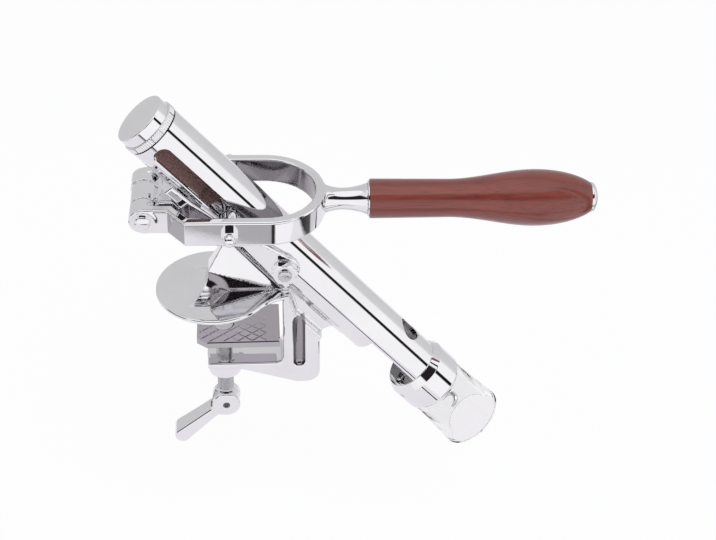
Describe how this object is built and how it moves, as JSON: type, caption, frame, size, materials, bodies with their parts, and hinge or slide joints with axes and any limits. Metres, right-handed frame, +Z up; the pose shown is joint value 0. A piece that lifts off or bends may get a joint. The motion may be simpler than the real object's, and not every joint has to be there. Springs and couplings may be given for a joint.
{
  "type": "counter mount corkscrew",
  "caption": "Lever-worked bottle opener on a counter clamp: sloping barrel with a worm and bell, ring lever with a wooden grip, and a clamp screw with a folding lever.",
  "frame": {"origin": "on the clamp screw's axis, on the underside of the upper jaw, where the counter's top lies", "axes": "+Z up, +X towards the grip and the bell, Y = 0 is the plane of symmetry"},
  "size_m": [0.2727, 0.0866, 0.2526],
  "materials": {
    "chrome": "mirror polished chrome plate",
    "bright_steel": "bright turned steel",
    "bronze": "turned bronze",
    "grip_wood": "satin varnished reddish brown wood",
    "clear_bell": "clear moulded plastic"
  },
  "bodies": {
    "frame": {"barrel": "chrome", "end_cap": "chrome", "knurled_ring": "chrome", "clamp_frame": "chrome", "collar": "chrome", "collar_screw": "bright_steel", "bell": "clear_bell", "guide_bush": "bronze", "drive_nut": "bronze", "pivot_studs": "bright_steel", "pivot_washers": "chrome", "pivot_nuts": "chrome"},
    "link": {"link": "chrome", "hinge_pin": "chrome"},
    "lever": {"lever_ring": "chrome", "carriage_bolts": "chrome", "acorn_nuts": "chrome", "ferrule": "chrome", "handle_rod": "bright_steel", "handle_grip": "grip_wood", "handle_nut": "chrome"},
    "carriage": {"carriage": "bright_steel", "carriage_stem": "bright_steel", "thrust_washer": "bronze"},
    "spindle": {"spindle": "bright_steel", "spindle_nut": "bright_steel", "worm": "bright_steel"},
    "pad": {"pressure_pad": "chrome"},
    "clamp_screw": {"clamp_screw": "bright_steel", "pad_retainer": "bright_steel", "cross_pin": "bright_steel"},
    "folding_lever": {"folding_lever": "chrome"}
  },
  "joints": [
    {"name": "link_swing", "type": "hinge", "parent": "frame", "child": "link", "pos_m": [0.03701, 0, 0.02927], "axis": [0, -1, 0], "range_deg": [0, 7.1]},
    {"name": "lever_hinge", "type": "hinge", "parent": "link", "child": "lever", "pos_m": [-0.04242, 0, 0.06598], "axis": [0, -1, 0], "range_deg": [0, 54.5]},
    {"name": "carriage_slide", "type": "slide", "parent": "frame", "child": "carriage", "axis": [-0.6505, 0, 0.7595], "range_m": [0, 0.044]},
    {"name": "worm_spin", "type": "hinge", "parent": "carriage", "child": "spindle", "pos_m": [0.05568, 0, 0.00748], "axis": [-0.6505, 0, 0.7595], "range_deg": [0, 1524]},
    {"name": "pad_slide", "type": "slide", "parent": "frame", "child": "pad", "axis": [0, 0, 1], "range_m": [-0.016, 0.014]},
    {"name": "screw_turn", "type": "hinge", "parent": "pad", "child": "clamp_screw", "pos_m": [0, 0, -0.06], "axis": [0, 0, 1], "range_deg": [-3840, 3360]},
    {"name": "folding_lever_swing", "type": "hinge", "parent": "clamp_screw", "child": "folding_lever", "pos_m": [0, 0, -0.0866], "axis": [0, -1, 0], "range_deg": [-35, 125]}
  ],
  "couplings": [
    {"joint": "link_swing", "follows": "lever_hinge", "ratio": 0.12862},
    {"joint": "carriage_slide", "follows": "lever_hinge", "m_per_rad": 0.04622},
    {"joint": "worm_spin", "follows": "lever_hinge", "ratio": 27.924},
    {"joint": "screw_turn", "follows": "pad_slide", "rad_per_m": 4188.8}
  ]
}
